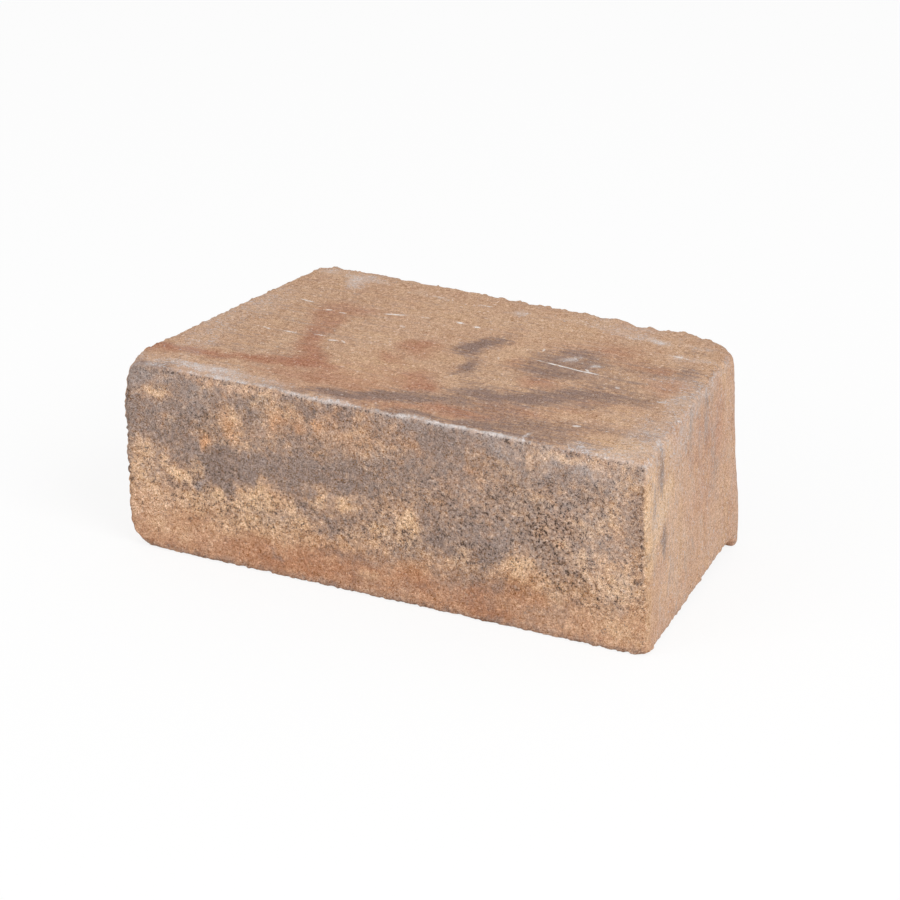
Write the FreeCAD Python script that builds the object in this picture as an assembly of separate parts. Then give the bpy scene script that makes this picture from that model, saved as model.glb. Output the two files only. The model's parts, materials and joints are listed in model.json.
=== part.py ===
import FreeCAD, Part
import math
import os

# Driving sizes of the block in millimetres, with the block lying level.
# X runs along the wall, Y from the front face to the back face, Z up from the underside bed.
FRONT_WIDTH = 295.0
BACK_WIDTH = 241.0
DEPTH = 157.0
HEIGHT = 101.6
FRONT_CORNER_RADIUS = 5.0
BACK_CORNER_RADIUS = 13.0
TOP_ARRIS_RADIUS = 3.8
BOTTOM_ARRIS_RADIUS = 2.5
LIP_DROP = 7.0
LIP_THICKNESS = 13.0

# The cove at the root of the lip and the round on its inner toe follow the drop of the lip.
LIP_COVE_RADIUS = 0.35 * LIP_DROP
LIP_TOE_RADIUS = 0.5 * LIP_DROP

# Spare length that carries a cutting tool clear of the block.
CLEARANCE = 20.0


def point(x, y, z):
    """Return a FreeCAD vector."""
    return FreeCAD.Vector(x, y, z)


def plan_outline():
    """Return the four straight-sided plan of the block at the level of the toe of the lip."""
    z = -LIP_DROP
    corners = [
        point(-FRONT_WIDTH / 2, 0, z),
        point(FRONT_WIDTH / 2, 0, z),
        point(BACK_WIDTH / 2, DEPTH, z),
        point(-BACK_WIDTH / 2, DEPTH, z),
    ]
    return Part.makePolygon(corners + corners[:1])


def upright_edges(shape, y):
    """Return the upright edges of a shape that stand at one distance from the front face."""
    found = []
    for edge in shape.Edges:
        ends = [vertex.Point for vertex in edge.Vertexes]
        level = abs(ends[0].z - ends[-1].z) < 1e-6
        if not level and all(abs(end.y - y) < 1e-6 for end in ends):
            found.append(edge)
    return found


def rounded_prism():
    """Return the full-height body with its upright corners rounded."""
    prism = Part.Face(plan_outline()).extrude(point(0, 0, HEIGHT + LIP_DROP))
    prism = prism.makeFillet(FRONT_CORNER_RADIUS, upright_edges(prism, 0))
    return prism.makeFillet(BACK_CORNER_RADIUS, upright_edges(prism, DEPTH))


def lip_section():
    """Return the side-on outline of the space in front of the lip, with its cove and its toe."""
    inner = DEPTH - LIP_THICKNESS
    toe = -LIP_DROP
    lean = math.sqrt(0.5)
    cove_centre = point(0, inner - LIP_COVE_RADIUS, -LIP_COVE_RADIUS)
    toe_centre = point(0, inner + LIP_TOE_RADIUS, toe + LIP_TOE_RADIUS)
    front_top = point(0, -CLEARANCE, 0)
    cove_start = cove_centre + point(0, 0, LIP_COVE_RADIUS)
    cove_middle = cove_centre + point(0, lean, lean) * LIP_COVE_RADIUS
    cove_end = cove_centre + point(0, LIP_COVE_RADIUS, 0)
    toe_start = toe_centre - point(0, LIP_TOE_RADIUS, 0)
    toe_middle = toe_centre - point(0, lean, lean) * LIP_TOE_RADIUS
    toe_end = toe_centre - point(0, 0, LIP_TOE_RADIUS)
    floor_back = toe_end - point(0, 0, CLEARANCE)
    floor_front = point(0, -CLEARANCE, toe - CLEARANCE)
    edges = [
        Part.makeLine(front_top, cove_start),
        Part.Arc(cove_start, cove_middle, cove_end).toShape(),
        Part.makeLine(cove_end, toe_start),
        Part.Arc(toe_start, toe_middle, toe_end).toShape(),
        Part.makeLine(toe_end, floor_back),
        Part.makeLine(floor_back, floor_front),
        Part.makeLine(floor_front, front_top),
    ]
    return Part.Face(Part.Wire(edges))


def cut_under_lip(prism):
    """Cut the underside up to its bed, and leave the lip standing along the back."""
    run = FRONT_WIDTH + 2 * CLEARANCE
    cutter = lip_section().extrude(point(run, 0, 0))
    cutter.translate(point(-run / 2, 0, 0))
    return prism.cut(cutter)


def wall_faces(prism):
    """Return the upright faces that go round the outside of the body."""
    return Part.Compound([face for face in prism.Faces if abs(face.normalAt(0, 0).z) < 0.5])


def bottom_edges(block, walls):
    """Return the edges that go round the bottom, along the bed and down over the ends of the lip."""
    found = []
    for edge in block.Edges:
        middle = edge.valueAt((edge.FirstParameter + edge.LastParameter) / 2)
        on_wall = Part.Vertex(middle).distToShape(walls)[0] < 1e-4
        if on_wall and edge.BoundBox.ZMax < HEIGHT / 2:
            found.append(edge)
    return found


def round_arrises(block, walls):
    """Round the edge that runs round the top and the edge that runs round the bottom."""
    top = [edge for edge in block.Edges if edge.BoundBox.ZMin > HEIGHT - 1e-3]
    block = block.makeFillet(TOP_ARRIS_RADIUS, top)
    return block.makeFillet(BOTTOM_ARRIS_RADIUS, bottom_edges(block, walls))


def rest_lean():
    """Return the forward lean in degrees at which the front arris and the lip both touch a floor."""
    run = DEPTH - LIP_THICKNESS + LIP_TOE_RADIUS - BOTTOM_ARRIS_RADIUS
    fall = LIP_DROP - LIP_TOE_RADIUS + BOTTOM_ARRIS_RADIUS
    reach = math.hypot(run, fall)
    lean = math.atan2(fall, run) + math.asin((LIP_TOE_RADIUS - BOTTOM_ARRIS_RADIUS) / reach)
    return math.degrees(lean)


def set_down(block):
    """Lean the block as it stands unheld on a floor, with the middle of its footprint at the origin."""
    block.rotate(point(0, 0, 0), point(1, 0, 0), rest_lean())
    box = block.optimalBoundingBox(False, False)
    block.translate(point(-box.Center.x, -box.Center.y, -box.ZMin))
    return block


os.makedirs("parts", exist_ok=True)
body = rounded_prism()
wall_block = set_down(round_arrises(cut_under_lip(body), wall_faces(body)))
wall_block.exportStep("parts/retaining_wall_block.step")
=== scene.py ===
import itertools
import json
import logging
import math
from dataclasses import dataclass, field
from enum import Enum
from typing import ClassVar, Sequence, Union

import bmesh
import bpy
import numpy as np
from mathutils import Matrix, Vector
from mathutils.bvhtree import BVHTree


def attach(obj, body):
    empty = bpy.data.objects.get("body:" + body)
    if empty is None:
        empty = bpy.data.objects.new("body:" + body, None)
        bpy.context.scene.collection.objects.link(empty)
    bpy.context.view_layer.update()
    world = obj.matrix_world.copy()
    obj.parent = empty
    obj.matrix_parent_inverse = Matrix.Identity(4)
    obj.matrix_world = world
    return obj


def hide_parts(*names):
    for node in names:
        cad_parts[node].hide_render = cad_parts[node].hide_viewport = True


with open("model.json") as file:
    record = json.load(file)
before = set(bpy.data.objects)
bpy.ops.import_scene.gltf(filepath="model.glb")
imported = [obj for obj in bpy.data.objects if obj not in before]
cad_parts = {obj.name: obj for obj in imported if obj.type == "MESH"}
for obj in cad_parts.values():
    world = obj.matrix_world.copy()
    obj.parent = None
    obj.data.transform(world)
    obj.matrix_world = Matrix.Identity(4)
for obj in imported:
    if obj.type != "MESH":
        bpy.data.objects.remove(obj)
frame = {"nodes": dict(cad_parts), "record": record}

Array = np.ndarray
Socket = bpy.types.NodeSocket
Feed = Union[float, Socket]
Place = tuple[float, float, float]
Colour = tuple[float, float, float, float]

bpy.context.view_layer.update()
LOG = logging.getLogger("wall_block")
MM_PER_METRE = 1000
WHITE: Colour = (1.0, 1.0, 1.0, 1.0)


class Side(Enum):
    """The six sides of the block."""

    TOP = "top"
    UNDER = "under"
    FRONT = "front"
    BACK = "back"
    RIGHT = "right"
    LEFT = "left"

    def axes(self) -> tuple[int, int]:
        """Return the two level axes that a mark on this side is placed on.

        Returns:
            Their columns in a table of level places.
        """
        if self in (Side.TOP, Side.UNDER):
            return 0, 1
        return (0, 2) if self in (Side.FRONT, Side.BACK) else (1, 2)


class Pigment(Enum):
    """What tints the concrete, with its column in the block's table of pigments."""

    CHARCOAL = 0
    TERRACOTTA = 1
    OCHRE = 2
    CHALK = 3
    ORANGE = 4


def ramp(value: Array, start: float, run: float) -> Array:
    """Return a straight rise from 0 to 1.

    Args:
        value: What the rise follows.
        start: Where it leaves 0.
        run: How far on it reaches 1. A run below nought goes down the scale instead.

    Returns:
        The rise at each value.
    """
    return np.clip((value - start) / run, 0, 1)


def linear(red: int, green: int, blue: int) -> Colour:
    """Return a paint-chart colour as the linear colour that a shader takes.

    Args:
        red: Red from 0 to 255.
        green: Green from 0 to 255.
        blue: Blue from 0 to 255.

    Returns:
        The three parts after the sRGB curve, and full cover.
    """
    parts = [part / 255 for part in (red, green, blue)]
    even = [part / 12.92 if part <= 0.04045 else ((part + 0.055) / 1.055) ** 2.4 for part in parts]
    return even[0], even[1], even[2], 1.0


def read_triples(corners: bpy.types.MeshVertices, name: str) -> Array:
    """Return a property of three numbers for every corner of a mesh.

    Args:
        corners: The corners of the mesh.
        name: Blender's name of the property.

    Returns:
        One row of three numbers for each corner.
    """
    values = np.empty(3 * len(corners))
    corners.foreach_get(name, values)
    return values.reshape(-1, 3)


@dataclass(frozen=True)
class Smear:
    """One dab of pigment on a side of the block, in millimetres along that side's two axes.

    Its turn is in degrees. A strength below nought thins the pigment that is there.
    """

    FADE: ClassVar[float] = 0.7
    FADE_POWER: ClassVar[float] = 1.5

    u: float
    v: float
    long: float
    wide: float
    strength: float
    turn: float = 0.0

    def cover(self, u: Array, v: Array) -> Array:
        """Return how strongly the dab covers each point.

        Args:
            u: Places along the side's first axis.
            v: Places along the side's second axis.

        Returns:
            Full cover at the middle of the dab, fading to nothing past its edge.
        """
        angle = math.radians(self.turn)
        along = (u - self.u) * math.cos(angle) + (v - self.v) * math.sin(angle)
        across = (v - self.v) * math.cos(angle) - (u - self.u) * math.sin(angle)
        reach = (along / self.long) ** 2 + (across / self.wide) ** 2
        return np.exp(-self.FADE * reach ** self.FADE_POWER)

    def lay(self, amount: Array, cover: Array) -> Array:
        """Return the pigment once this dab is laid.

        Args:
            amount: The pigment before.
            cover: How strongly the dab covers each point.

        Returns:
            The pigment raised towards the dab's strength, or thinned where that is below nought.
        """
        if self.strength < 0:
            return amount * (1 + cover * self.strength)
        return amount + cover * np.maximum(self.strength - amount, 0)


def smears(*rows: tuple[float, ...]) -> tuple[Smear, ...]:
    """Return one dab for each row of place, length, width, strength and, where it has one, turn."""
    return tuple(Smear(*row) for row in rows)


@dataclass(frozen=True)
class Scratch:
    """A pale drag mark on the top of the block, from one point to another, in millimetres."""

    start: tuple[float, float]
    end: tuple[float, float]
    width: float
    strength: float


@dataclass(frozen=True)
class WornCorner:
    """A corner of the block that is rubbed off square to a direction, with softly rounded sides."""

    FARTHEST: ClassVar[float] = 8.0

    at: Place
    facing: Place
    bite: float
    softness: float = 1.6

    def rub(self, points: Array, wander: Array) -> Array:
        """Press the points that stand past the worn face back onto it.

        Args:
            points: Level places in millimetres.
            wander: Unevenness of the worn face at each point, in millimetres.

        Returns:
            The points after wear.
        """
        facing = np.array(self.facing) / np.linalg.norm(self.facing)
        past = (points - np.array(self.at)) @ facing + self.bite + wander
        soft = 0.5 * (past + np.sqrt(past * past + self.softness ** 2))
        return points - np.where(past > -self.FARTHEST * self.softness, soft, 0)[:, None] * facing


@dataclass(frozen=True)
class Dent:
    """A soft dent in the surface, or a swelling where its depth is below nought, in millimetres."""

    at: Place
    reach: Place
    depth: float

    def lift(self, points: Array) -> Array:
        """Return how far each point moves outwards."""
        away = (points - np.array(self.at)) / np.array(self.reach)
        return -self.depth * np.exp(-np.sum(away * away, axis=1))


@dataclass(frozen=True)
class Sand:
    """Repeatable smooth noise that stands for the random packing of sand and stone."""

    SCATTER: ClassVar[tuple[int, int, int]] = (374761393, 668265263, 1274126177)
    SEED_STRIDE: ClassVar[int] = 97531
    LARGEST: ClassVar[int] = 0xFFFF
    LAYERS: ClassVar[int] = 3
    LAYER_SHIFT: ClassVar[float] = 31.7
    LAYER_FADE: ClassVar[float] = 1.7

    seed: int

    def cell_value(self, cells: Array) -> Array:
        """Return a chance number for each cell.

        Args:
            cells: Whole-number places of the cells.

        Returns:
            A number from 0 to 1 that is always the same for the same cell and seed.
        """
        mixed = cells.astype(np.int64) @ np.array(self.SCATTER) + self.seed * self.SEED_STRIDE
        mixed = (mixed ^ (mixed >> 13)) * self.SCATTER[2]
        return ((mixed ^ (mixed >> 16)) & self.LARGEST) / self.LARGEST

    def smooth(self, points: Array, size: Union[float, Sequence[float]], shift: float = 0.0) -> Array:
        """Return one layer of noise.

        Args:
            points: Places in millimetres.
            size: Distance between its ups and downs in millimetres, or one for each axis.
            shift: How far off it is read, so that two layers differ.

        Returns:
            Noise from -1 to 1 at each point.
        """
        scaled = (points + shift) / np.asarray(size, dtype=float)
        base = np.floor(scaled)
        part = scaled - base
        # The fifth-order curve from 0 to 1 that is level at both ends.
        part = part * part * part * (part * (part * 6 - 15) + 10)
        total = np.zeros(len(points))
        for corner in itertools.product((0, 1), repeat=3):
            share = np.prod(np.where(np.array(corner), part, 1 - part), axis=1)
            total += share * self.cell_value(base + corner)
        return 2 * total - 1

    def layered(self, points: Array, size: float, shift: float = 0.0) -> Array:
        """Return noise with finer and fainter layers on top of the first, each half as large as the last.

        Args:
            points: Places in millimetres.
            size: Distance between the ups and downs of the first layer.
            shift: How far off it is read.

        Returns:
            Noise from about -1 to 1 at each point.
        """
        total = np.zeros(len(points))
        for n in range(self.LAYERS):
            total += self.smooth(points, size / 2 ** n, shift + self.LAYER_SHIFT * n) / self.LAYER_FADE ** n
        return total


@dataclass(frozen=True)
class LevelFrame:
    """The block's own level axes, in millimetres, found from its beds and faces.

    The front face is at nought from front to back, and the underside bed at nought in height. The height is
    that of the top bed.
    """

    lean: float
    origin: Place = (0.0, 0.0, 0.0)
    height: float = 0.0

    @classmethod
    def from_record(cls, record: dict, cad: bpy.types.Object) -> "LevelFrame":
        """Work out the lean, the origin and the height of the level axes.

        Args:
            record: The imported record, whose mounts give the beds and faces.
            cad: The solid's own object, which gives where the front face is.

        Returns:
            The level axes of the block as it stands.
        """
        mounts = {mount["name"]: mount for mount in record["mounts"]}
        up = mounts["top_bed"]["axis"]
        turned = cls(math.atan2(-up[1], up[2]))
        front = min(turned.to_level(read_triples(cad.data.vertices, "co"))[:, 1])
        beds = np.array([mounts[name]["pos_m"] for name in ("underside_bed", "top_bed")])
        low, high = turned.to_level(beds)[:, 2]
        origin = turned.matrix() @ np.array([0.0, front, low]) / MM_PER_METRE
        return cls(turned.lean, tuple(origin), high - low)

    def matrix(self) -> Array:
        """Return the turn that takes level axes to the block's axes as it stands."""
        cos, sin = math.cos(self.lean), math.sin(self.lean)
        return np.array([[1, 0, 0], [0, cos, -sin], [0, sin, cos]])

    def to_level(self, places: Array) -> Array:
        """Return places in level millimetres, from places in metres as the block stands."""
        return MM_PER_METRE * (places - np.array(self.origin)) @ self.matrix()

    def to_rest(self, points: Array) -> Array:
        """Return places in metres as the block stands, from level millimetres."""
        return points @ self.matrix().T / MM_PER_METRE + np.array(self.origin)


class NodeBench:
    """Puts shader nodes into one material or world and joins them."""

    def __init__(self, holder: Union[bpy.types.Material, bpy.types.World]) -> None:
        """Start with an empty node tree.

        Args:
            holder: The material or world that the nodes are for.
        """
        holder.use_nodes = True
        self.tree = holder.node_tree
        self.tree.nodes.clear()

    def add(self, kind: str, **settings: object) -> bpy.types.Node:
        """Add a node.

        Args:
            kind: Blender's name for the node.
            settings: Properties of the node, by name.

        Returns:
            The new node.
        """
        node = self.tree.nodes.new(kind)
        for name, value in settings.items():
            setattr(node, name, value)
        return node

    def feed(self, socket: Socket, value: object) -> None:
        """Link a socket to an output, or set it to a plain value.

        Args:
            socket: The input to feed.
            value: An output of another node, or a number or a colour.
        """
        if isinstance(value, bpy.types.NodeSocket):
            self.tree.links.new(value, socket)
        else:
            socket.default_value = value

    def math(self, operation: str, *values: Feed) -> Socket:
        """Return one sum.

        Args:
            operation: Blender's name for the sum.
            values: The numbers that go into it.

        Returns:
            The result.
        """
        node = self.add("ShaderNodeMath", operation=operation)
        for socket, value in zip(node.inputs, values):
            self.feed(socket, value)
        return node.outputs[0]

    def times(self, first: Feed, second: Feed) -> Socket:
        """Return one number times another."""
        return self.math("MULTIPLY", first, second)

    def total(self, *parts: tuple[Feed, float]) -> Socket:
        """Return a weighted sum.

        Args:
            parts: Numbers, each with its share.

        Returns:
            The sum of the numbers times their shares.
        """
        result: Feed = 0.0
        for value, share in parts:
            result = self.math("MULTIPLY_ADD", value, share, result)
        return result

    def step(self, value: Feed, low: float, high: float, before: float = 0.0, after: float = 1.0) -> Socket:
        """Return a smooth step of a number.

        Args:
            value: The number that the step follows.
            low: Where the step begins.
            high: Where the step ends.
            before: The result before the step.
            after: The result after the step.

        Returns:
            The stepped number.
        """
        node = self.add("ShaderNodeMapRange", interpolation_type="SMOOTHSTEP")
        names = ("Value", "From Min", "From Max", "To Min", "To Max")
        for name, item in zip(names, (value, low, high, before, after)):
            self.feed(node.inputs[name], item)
        return node.outputs["Result"]

    def mix(self, share: Feed, under: object, over: object, blend: str = "MIX") -> Socket:
        """Return one colour laid over another.

        Args:
            share: How much of the upper colour shows.
            under: The lower colour.
            over: The upper colour.
            blend: Blender's name for the way they mix.

        Returns:
            The mixed colour.
        """
        node = self.add("ShaderNodeMix", data_type="RGBA", blend_type=blend, clamp_factor=True)
        self.feed(node.inputs["Factor"], share)
        self.feed(node.inputs[6], under)
        self.feed(node.inputs[7], over)
        return node.outputs[2]

    def stretch(self, places: Socket, scale: Place, shift: Place = (0.0, 0.0, 0.0)) -> Socket:
        """Return places scaled along each axis.

        Args:
            places: The places to scale.
            scale: One number for each axis.
            shift: How far they are then moved.

        Returns:
            The new places.
        """
        node = self.add("ShaderNodeMapping")
        self.feed(node.inputs["Vector"], places)
        node.inputs["Scale"].default_value = scale
        node.inputs["Location"].default_value = shift
        return node.outputs["Vector"]

    def centred(self, value: Socket) -> Socket:
        """Return a number from 0 to 1 as one that swings about nought."""
        return self.math("SUBTRACT", value, 0.5)

    def stained(self, amount: Socket, edge: Socket) -> Socket:
        """Return how far a pigment shows once its edge is broken up by the grain."""
        return self.step(self.math("ADD", amount, edge), 0.10, 0.90)

    def noise(self, places: Socket, scale: float, detail: float = 2.0, rough: float = 0.55) -> Socket:
        """Return smooth noise.

        Args:
            places: The places it is read at.
            scale: How many ups and downs there are to a metre.
            detail: How many finer layers it has.
            rough: How strong each finer layer is.

        Returns:
            The noise, swinging about nought by up to a half.
        """
        node = self.add("ShaderNodeTexNoise")
        self.feed(node.inputs["Vector"], places)
        node.inputs["Scale"].default_value = scale
        node.inputs["Detail"].default_value = detail
        node.inputs["Roughness"].default_value = rough
        return self.centred(node.outputs[0])

    def streaks(self, places: Socket, scale: Place, detail: float = 1.0, rough: float = 0.55) -> Socket:
        """Return noise that is drawn out along an axis, with one scale for each axis."""
        return self.noise(self.stretch(places, scale), 1.0, detail, rough)

    def grains(self, places: Socket, scale: float) -> tuple[Socket, Socket]:
        """Return packed grains.

        Args:
            places: The places they are read at.
            scale: How many grains there are to a metre.

        Returns:
            A chance number for each grain, and the distance from the grain's middle, both about nought.
        """
        node = self.add("ShaderNodeTexVoronoi", feature="F1")
        self.feed(node.inputs["Vector"], places)
        node.inputs["Scale"].default_value = scale
        split = self.add("ShaderNodeSeparateColor")
        self.feed(split.inputs[0], node.outputs["Color"])
        return self.centred(split.outputs[0]), self.centred(node.outputs["Distance"])

    def bend(self, places: Socket, scale: float, reach: float) -> Socket:
        """Return places that are pushed about by noise.

        Args:
            places: The places to push.
            scale: How many ups and downs there are to a metre.
            reach: How far a place is pushed, in metres.

        Returns:
            The new places.
        """
        node = self.add("ShaderNodeTexNoise")
        self.feed(node.inputs["Vector"], places)
        node.inputs["Scale"].default_value = scale
        push = self.add("ShaderNodeVectorMath", operation="MULTIPLY_ADD")
        self.feed(push.inputs[0], node.outputs["Color"])
        push.inputs[1].default_value = (2 * reach, 2 * reach, 2 * reach)
        self.feed(push.inputs[2], places)
        return push.outputs[0]

    def in_view(self) -> Socket:
        """Tell what the camera sees from other light.

        Returns:
            1 for what is seen, straight or in a reflection or through glass, and 0 for other light.
        """
        path = self.add("ShaderNodeLightPath").outputs
        mirrored = self.math("MAXIMUM", path["Is Glossy Ray"], path["Is Transmission Ray"])
        return self.math("MAXIMUM", path["Is Camera Ray"], mirrored)

    def glow(self, kind: str, strength: float) -> Socket:
        """Return a plain white light.

        Args:
            kind: Blender's name for a node with a colour and a strength.
            strength: How bright it is.

        Returns:
            The light, ready to blend.
        """
        node = self.add(kind)
        node.inputs["Color"].default_value = WHITE
        node.inputs["Strength"].default_value = strength
        return node.outputs[0]

    def blend(self, share: Feed, first: Socket, second: Socket) -> Socket:
        """Return two shaders mixed.

        Args:
            share: How much of the second there is.
            first: The first shader.
            second: The second shader.

        Returns:
            The mixed shader.
        """
        node = self.add("ShaderNodeMixShader")
        for socket, value in zip(node.inputs, (share, first, second)):
            self.feed(socket, value)
        return node.outputs[0]

    def layer(self, name: str) -> tuple[Socket, Socket, Socket, Socket]:
        """Return the channels of a colour layer that is painted on the mesh.

        Args:
            name: The name of the layer.

        Returns:
            Its four channels.
        """
        node = self.add("ShaderNodeAttribute", attribute_name=name)
        split = self.add("ShaderNodeSeparateColor")
        self.feed(split.inputs[0], node.outputs["Color"])
        return split.outputs[0], split.outputs[1], split.outputs[2], node.outputs["Alpha"]

    def single(self, name: str) -> Socket:
        """Return a layer of plain numbers that is painted on the mesh."""
        return self.add("ShaderNodeAttribute", attribute_name=name).outputs["Fac"]


@dataclass(frozen=True)
class Grain:
    """Sockets of the concrete's random grain, each swinging about nought.

    Clump and drift are alike, and from broad to dust the others get finer. Sand, grit and crumb are packed
    grains. Pebble shows on porous skin only. Streak runs the way that the bed and the flanks were dragged.
    """

    broad: Socket
    clump: Socket
    drift: Socket
    knot: Socket
    fleck: Socket
    speck: Socket
    dust: Socket
    sand: Socket
    grit: Socket
    crumb: Socket
    pebble: Socket
    streak: Socket


@dataclass(frozen=True)
class Skin:
    """Sockets of the layers that are painted on the mesh."""

    charcoal: Socket
    terracotta: Socket
    ochre: Socket
    chalk: Socket
    orange: Socket
    bed: Socket
    face: Socket
    flank: Socket
    porous: Socket


@dataclass(frozen=True)
class BlendedConcrete:
    """Dry-cast concrete of blended mixes, with chalky bloom, drag marks, and pores darkened by painted shade.

    The grey swing is how far red, green and blue follow the light and dark of the grain. The relief is how
    far the grain stands out, in metres.
    """

    tan: Colour = linear(196, 160, 133)
    ochre: Colour = linear(211, 176, 142)
    terracotta: Colour = linear(168, 112, 87)
    rust: Colour = linear(163, 115, 78)
    charcoal: Colour = linear(138, 119, 109)
    umber: Colour = linear(140, 116, 105)
    orange: Colour = linear(212, 163, 124)
    chalk: Colour = linear(223, 216, 214)
    bloom: Colour = linear(240, 233, 228)
    # The painted shade inside the pores.
    pore_shade: Colour = linear(66, 48, 38)
    dusk: Colour = linear(150, 112, 86)
    pale: Colour = linear(228, 198, 168)
    grey_swing: Place = (0.80, 1.0, 1.24)
    roughness: float = 0.93
    specular: float = 0.25
    relief: float = 0.0005


@dataclass
class Mixer:
    """Mixes a finish into a node material, from the layers painted on the mesh and the random grain."""

    finish: BlendedConcrete
    material: bpy.types.Material = field(init=False)
    bench: NodeBench = field(init=False)
    places: Socket = field(init=False)
    skin: Skin = field(init=False)
    grain: Grain = field(init=False)

    def __post_init__(self) -> None:
        """Set out the bench, the painted layers and the grain."""
        self.material = bpy.data.materials.new("blended_concrete")
        self.bench = bench = NodeBench(self.material)
        self.places = bench.add("ShaderNodeTexCoord").outputs["Object"]
        self.skin = Skin(*bench.layer("pigment"), bench.single("orange"), *bench.layer("side"))
        self.grain = self.make_grain()

    def make(self, scratches: Sequence[Scratch], level: LevelFrame) -> bpy.types.Material:
        """Build the node material.

        Args:
            scratches: The pale drag marks on the top bed.
            level: The level axes that the scratches are placed on.

        Returns:
            The finished material.
        """
        bench, finish, skin, grain = self.bench, self.finish, self.skin, self.grain
        hollow = self.hollows()
        colour = self.whiten(self.speckle(self.stain()))
        # Painted shade darkens the pores and the gaps between crumbs, most on the coarse front and its porous
        # skin.
        pore_shade_share = bench.total((skin.face, 0.52), (skin.porous, 0.22), (1.0, 0.24))
        colour = bench.mix(bench.times(hollow, pore_shade_share), colour, finish.pore_shade)
        marks = bench.times(self.drag_marks(scratches, level), skin.bed)
        rubbed = bench.step(bench.total((grain.fleck, 1.0), (grain.speck, 0.6)), -0.14, 0.06, 0.20, 1.0)
        colour = bench.mix(bench.times(marks, rubbed), colour, finish.bloom)

        shader = bench.add("ShaderNodeBsdfPrincipled")
        bench.feed(shader.inputs["Base Color"], colour)
        shader.inputs["Roughness"].default_value = finish.roughness
        shader.inputs["Specular IOR Level"].default_value = finish.specular
        bench.feed(shader.inputs["Normal"], self.fine_relief(hollow))
        bench.feed(bench.add("ShaderNodeOutputMaterial").inputs["Surface"], shader.outputs[0])
        return self.material

    def make_grain(self) -> Grain:
        """Return the random grain of the concrete.

        Returns:
            The grain, from clumps a few centimetres across down to dust of half a millimetre.
        """
        bench, places, skin = self.bench, self.places, self.skin
        apart = bench.stretch(places, (1, 1, 1), (0.37, 0.11, 0.23))
        bent = bench.bend(places, 500, 0.0011)
        wavy = bench.bend(places, 60, 0.004)
        sand, crumb = bench.grains(places, 640)
        bed_drag = bench.times(bench.streaks(places, (16, 430, 60), 2), skin.bed)
        bed_fine = bench.times(bench.streaks(places, (38, 1150, 120)), skin.bed)
        flank_fine = bench.times(bench.streaks(places, (800, 800, 200)), skin.flank)
        flank_drag = bench.times(bench.streaks(wavy, (120, 120, 20), 4, 0.6), skin.flank)
        return Grain(
            broad=bench.noise(places, 22),
            clump=bench.noise(places, 95, 3, 0.62),
            drift=bench.noise(apart, 75, 3, 0.62),
            knot=bench.noise(places, 215),
            fleck=bench.noise(places, 430),
            speck=bench.noise(places, 1000, 1),
            dust=bench.noise(places, 1900, 0),
            sand=sand,
            grit=bench.grains(places, 1050)[0],
            crumb=crumb,
            pebble=bench.times(bench.grains(bent, 500)[1], skin.porous),
            streak=bench.total((bed_drag, 0.9), (bed_fine, 0.7), (flank_fine, 0.8), (flank_drag, 1.9)),
        )

    def stain(self) -> Socket:
        """Blend the mixes, with the edges of each stain broken up by the grain.

        Returns:
            The colour before sand, pores and bloom.
        """
        bench, finish, skin, grain = self.bench, self.finish, self.skin, self.grain
        loose = bench.total((skin.face, 0.55), (1.0, 0.40))
        dark_edge = bench.total((grain.clump, 0.72), (grain.knot, 0.75), (grain.fleck, 0.28),
                                (grain.sand, 0.03))
        frayed = bench.times(bench.total((grain.fleck, 0.45), (grain.speck, 0.25)), skin.bed)
        dark_edge = bench.total((bench.times(dark_edge, loose), 1.0), (grain.streak, 0.95), (frayed, 1.0))
        red_edge = bench.total((grain.drift, 1.1), (grain.fleck, 0.25), (grain.sand, -0.04))
        red_edge = bench.total((bench.times(red_edge, loose), 1.0), (grain.streak, -0.4))

        colour = bench.mix(bench.step(grain.broad, -0.2, 0.2, 0.0, 0.3), finish.tan, finish.ochre)
        reddish = bench.mix(skin.face, finish.terracotta, finish.rust)
        colour = bench.mix(bench.stained(skin.terracotta, red_edge), colour, reddish)
        ochre_edge = bench.times(dark_edge, -0.8)
        colour = bench.mix(bench.stained(skin.ochre, ochre_edge), colour, finish.ochre)
        soot = bench.stained(skin.charcoal, dark_edge)
        colour = bench.mix(soot, colour, bench.mix(skin.bed, finish.charcoal, finish.umber))
        rusty = bench.total((skin.orange, 1.0), (grain.knot, 1.0), (grain.fleck, 0.5))
        colour = bench.mix(bench.step(rusty, 0.12, 0.85, 0.0, 0.85), colour, finish.orange)

        clean = bench.total((soot, -0.75), (1.0, 1.0))
        pale = bench.times(bench.step(grain.grit, 0.40, 0.47), bench.total((skin.face, 0.06), (1.0, 0.16)))
        colour = bench.mix(bench.times(pale, clean), colour, finish.pale)
        dusky = bench.times(bench.step(grain.sand, -0.34, -0.46), bench.total((skin.face, 0.06), (1.0, 0.24)))
        return bench.mix(dusky, colour, finish.dusk)

    def speckle(self, colour: Socket) -> Socket:
        """Make each grain of sand a little lighter or darker, and paint the crumbs of the porous skin light
        on top with painted shade in the gaps between them.

        Args:
            colour: The colour of the blended mixes.

        Returns:
            The speckled colour.
        """
        bench, skin, grain = self.bench, self.skin, self.grain
        swing = bench.total((skin.face, 0.25), (skin.porous, -0.10), (skin.flank, 0.07), (1.0, 0.50))
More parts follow.
